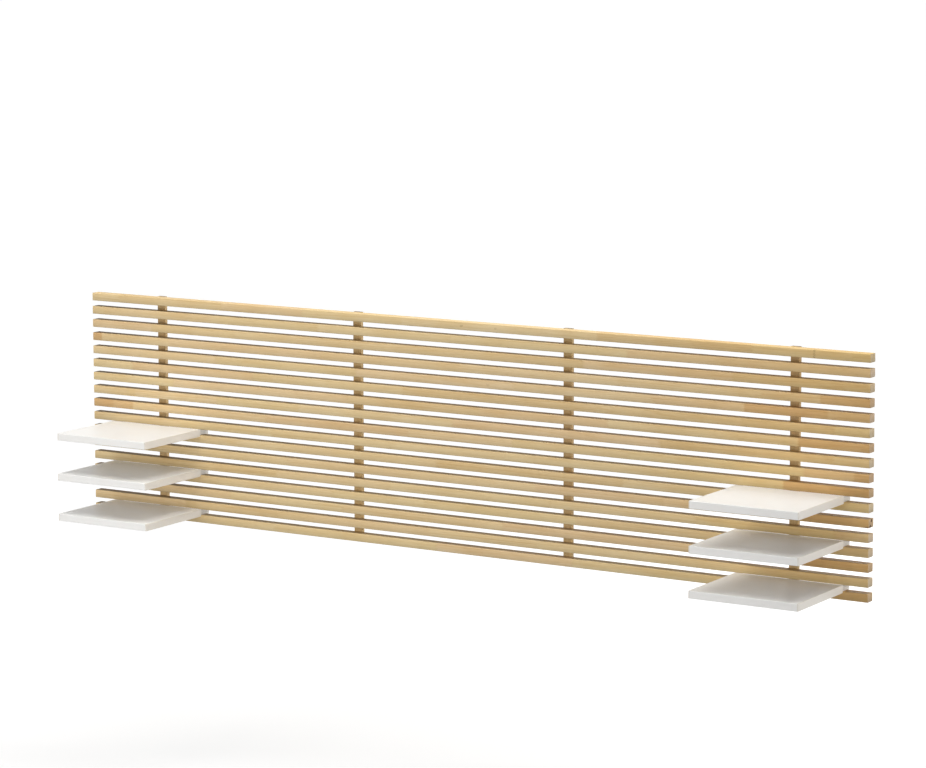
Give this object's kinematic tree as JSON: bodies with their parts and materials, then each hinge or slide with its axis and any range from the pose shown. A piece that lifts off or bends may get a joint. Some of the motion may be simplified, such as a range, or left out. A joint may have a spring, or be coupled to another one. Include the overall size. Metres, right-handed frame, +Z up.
{
  "type": "slatted wall headboard",
  "caption": "Slatted birch wall headboard with slim white shelves at both ends, which hook over the slats and slide along them.",
  "frame": {"origin": "on the wall plane at mid width, on the line of the round keyhole entries in the rails' backs", "axes": "+X to the right along the slats, seen from the front; +Y back into the wall; +Z up"},
  "size_m": [2.4, 0.29, 0.62],
  "materials": {
    "birch_slat": "clear lacquered birch",
    "birch_rail": "clear lacquered birch",
    "white_board": "satin white foil",
    "coated_steel": "satin off-white powder coat",
    "zinc_steel": "zinc plated"
  },
  "bodies": {
    "headboard_frame": {"slat_01": "birch_slat", "slat_02": "birch_slat", "slat_03": "birch_slat", "slat_04": "birch_slat", "slat_05": "birch_slat", "slat_06": "birch_slat", "slat_07": "birch_slat", "slat_08": "birch_slat", "slat_09": "birch_slat", "slat_10": "birch_slat", "slat_11": "birch_slat", "slat_12": "birch_slat", "slat_13": "birch_slat", "slat_14": "birch_slat", "slat_15": "birch_slat", "slat_16": "birch_slat", "slat_17": "birch_slat", "rail_1": "birch_rail", "rail_2": "birch_rail", "rail_3": "birch_rail", "rail_4": "birch_rail", "rail_1_screws": "zinc_steel", "rail_2_screws": "zinc_steel", "rail_3_screws": "zinc_steel", "rail_4_screws": "zinc_steel", "hanger_plate_1": "zinc_steel", "hanger_plate_2": "zinc_steel", "hanger_plate_3": "zinc_steel", "hanger_plate_4": "zinc_steel", "hanger_screws": "zinc_steel"},
    "shelf_left_1": {"shelf_left_1_board": "white_board", "shelf_left_1_outer_plate": "coated_steel", "shelf_left_1_inner_plate": "coated_steel", "shelf_left_1_screws": "zinc_steel"},
    "shelf_left_2": {"shelf_left_2_board": "white_board", "shelf_left_2_outer_plate": "coated_steel", "shelf_left_2_inner_plate": "coated_steel", "shelf_left_2_screws": "zinc_steel"},
    "shelf_left_3": {"shelf_left_3_board": "white_board", "shelf_left_3_outer_plate": "coated_steel", "shelf_left_3_inner_plate": "coated_steel", "shelf_left_3_screws": "zinc_steel"},
    "shelf_right_1": {"shelf_right_1_board": "white_board", "shelf_right_1_outer_plate": "coated_steel", "shelf_right_1_inner_plate": "coated_steel", "shelf_right_1_screws": "zinc_steel"},
    "shelf_right_2": {"shelf_right_2_board": "white_board", "shelf_right_2_outer_plate": "coated_steel", "shelf_right_2_inner_plate": "coated_steel", "shelf_right_2_screws": "zinc_steel"},
    "shelf_right_3": {"shelf_right_3_board": "white_board", "shelf_right_3_outer_plate": "coated_steel", "shelf_right_3_inner_plate": "coated_steel", "shelf_right_3_screws": "zinc_steel"}
  },
  "joints": [
    {"name": "shelf_left_1_slide", "type": "slide", "parent": "headboard_frame", "child": "shelf_left_1", "axis": [1, 0, 0], "range_m": [-0.068, 0.1345]},
    {"name": "shelf_left_2_slide", "type": "slide", "parent": "headboard_frame", "child": "shelf_left_2", "axis": [1, 0, 0], "range_m": [-0.068, 0.1345]},
    {"name": "shelf_left_3_slide", "type": "slide", "parent": "headboard_frame", "child": "shelf_left_3", "axis": [1, 0, 0], "range_m": [-0.068, 0.1345]},
    {"name": "shelf_right_1_slide", "type": "slide", "parent": "headboard_frame", "child": "shelf_right_1", "axis": [1, 0, 0], "range_m": [-0.1345, 0.068]},
    {"name": "shelf_right_2_slide", "type": "slide", "parent": "headboard_frame", "child": "shelf_right_2", "axis": [1, 0, 0], "range_m": [-0.1345, 0.068]},
    {"name": "shelf_right_3_slide", "type": "slide", "parent": "headboard_frame", "child": "shelf_right_3", "axis": [1, 0, 0], "range_m": [-0.1345, 0.068]}
  ]
}
